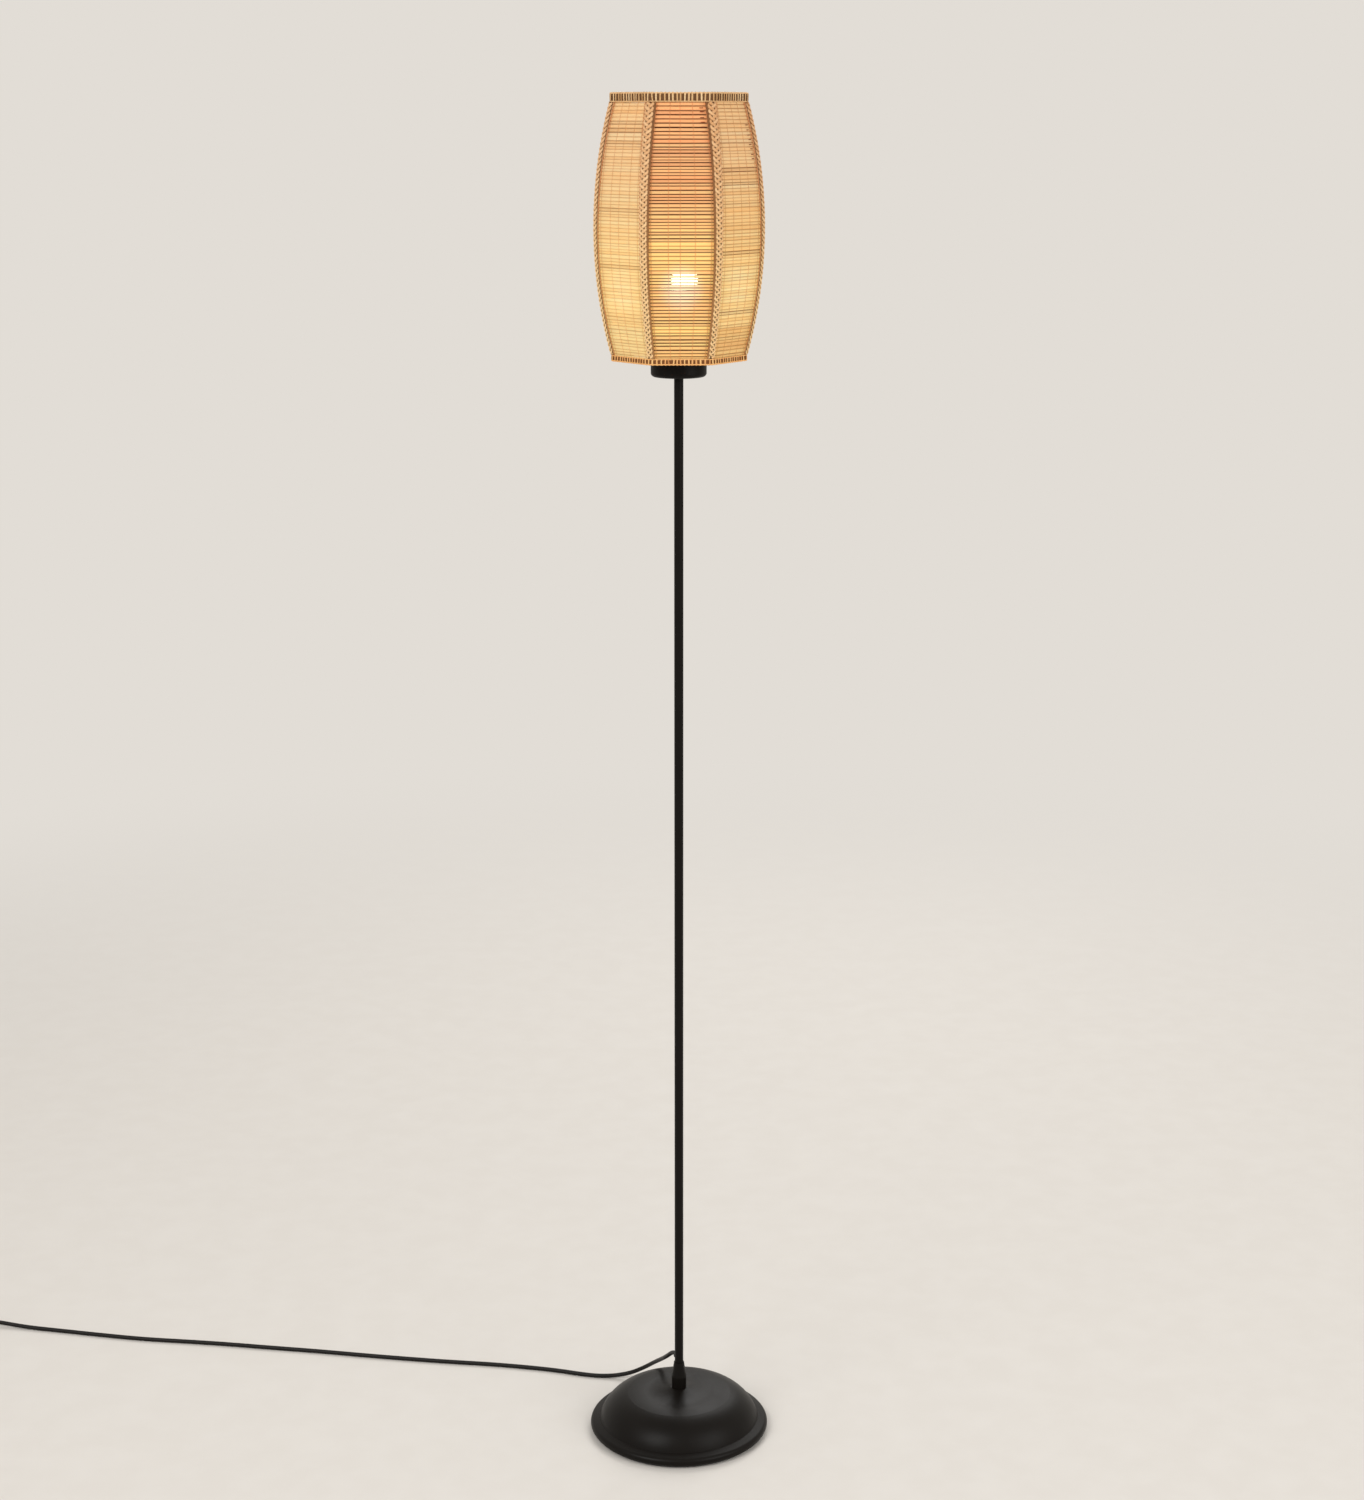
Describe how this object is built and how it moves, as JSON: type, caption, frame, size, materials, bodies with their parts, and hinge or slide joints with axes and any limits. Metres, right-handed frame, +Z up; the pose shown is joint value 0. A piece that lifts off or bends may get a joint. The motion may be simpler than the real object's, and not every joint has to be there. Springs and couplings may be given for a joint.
{
  "type": "floor lamp",
  "caption": "Floor lamp with a slim black pole on a weighted dome base, a barrel shade of split bamboo panels, a screw-in bulb and a mains cord with a rocker switch.",
  "frame": {"origin": "centre of the base's underside, on the floor", "axes": "+Z up along the pole, front of the lamp towards -Y, +X to the right seen from the front"},
  "size_m": [1.1337, 0.3741, 1.521],
  "materials": {
    "black_powder_coat": "satin powder coat",
    "frame_wire": "painted wire",
    "iron_weight": "as cast",
    "felt": "felt",
    "zinc_steel": "zinc plated",
    "grommet_rubber": "matt",
    "cord_sheath": "satin",
    "black_moulding": "satin moulding",
    "ceramic": "unglazed",
    "brass": "bright",
    "nickel": "bright",
    "bulb_black": "gloss",
    "bulb_white": "satin",
    "bulb_opal": "opal",
    "circuit_board": "matt",
    "bamboo": "split bamboo mat",
    "plait": "plaited strip",
    "stitched_edge": "stitched edge"
  },
  "bodies": {
    "lamp_stand": {"base_felt": "felt", "base_nut": "zinc_steel", "base_shell": "black_powder_coat", "base_washer": "zinc_steel", "base_weight": "iron_weight", "centre_contact": "brass", "cord_coil": "cord_sheath", "cord_grommet": "grommet_rubber", "cord_run": "cord_sheath", "cord_tie": "black_moulding", "dish_locknut": "zinc_steel", "foot_collar": "black_powder_coat", "holder_cap": "black_moulding", "holder_core": "ceramic", "holder_skirt": "black_moulding", "inner_cable": "cord_sheath", "plug_body": "black_moulding", "plug_pins": "nickel", "pole_joiner": "zinc_steel", "pole_lower": "black_powder_coat", "pole_upper": "black_powder_coat", "screw_shell": "brass", "shade_dish": "black_powder_coat", "switch_base": "black_moulding", "switch_contacts": "brass", "switch_cover": "black_moulding", "switch_screws": "zinc_steel", "terminal_screws": "zinc_steel"},
    "shade_carrier": {"shade_fitter": "black_powder_coat"},
    "shade": {"bamboo_panel_1": "bamboo", "bamboo_panel_2": "bamboo", "bamboo_panel_3": "bamboo", "bamboo_panel_4": "bamboo", "bamboo_panel_5": "bamboo", "bamboo_panel_6": "bamboo", "bamboo_panel_7": "bamboo", "corner_trim_1": "plait", "corner_trim_2": "plait", "corner_trim_3": "plait", "corner_trim_4": "plait", "corner_trim_5": "plait", "corner_trim_6": "plait", "corner_trim_7": "plait", "top_binding": "stitched_edge", "bottom_binding": "stitched_edge", "frame_top_ring": "frame_wire", "frame_bottom_ring": "frame_wire", "frame_ribs": "frame_wire", "shade_arms": "frame_wire"},
    "bulb_tip": {"bulb_contact": "nickel", "bulb_insulator": "bulb_black"},
    "bulb": {"bulb_cap": "nickel", "bulb_housing": "bulb_white", "bulb_light_board": "circuit_board", "bulb_driver_board": "circuit_board", "bulb_globe": "bulb_opal"},
    "rocker": {"switch_rocker": "black_moulding"}
  },
  "joints": [
    {"name": "shade_lift", "type": "slide", "parent": "lamp_stand", "child": "shade_carrier", "axis": [0, 0, 1], "range_m": [0, 0.15]},
    {"name": "shade_turn", "type": "hinge", "parent": "shade_carrier", "child": "shade", "pos_m": [0, 0, 1.2492], "axis": [0, 0, 1], "continuous": true},
    {"name": "bulb_rise", "type": "slide", "parent": "lamp_stand", "child": "bulb_tip", "axis": [0, 0, 1], "range_m": [0, 0.0182]},
    {"name": "bulb_turn", "type": "hinge", "parent": "bulb_tip", "child": "bulb", "pos_m": [0, 0, 1.2675], "axis": [0, 0, 1], "range_deg": [0, 1800]},
    {"name": "rocker_tilt", "type": "hinge", "parent": "lamp_stand", "child": "rocker", "pos_m": [-0.917, 0.2585, 0.0105], "axis": [0, -1, 0], "range_deg": [0, 16]}
  ],
  "couplings": [
    {"joint": "bulb_rise", "follows": "bulb_turn", "m_per_rad": 0.00057773}
  ]
}
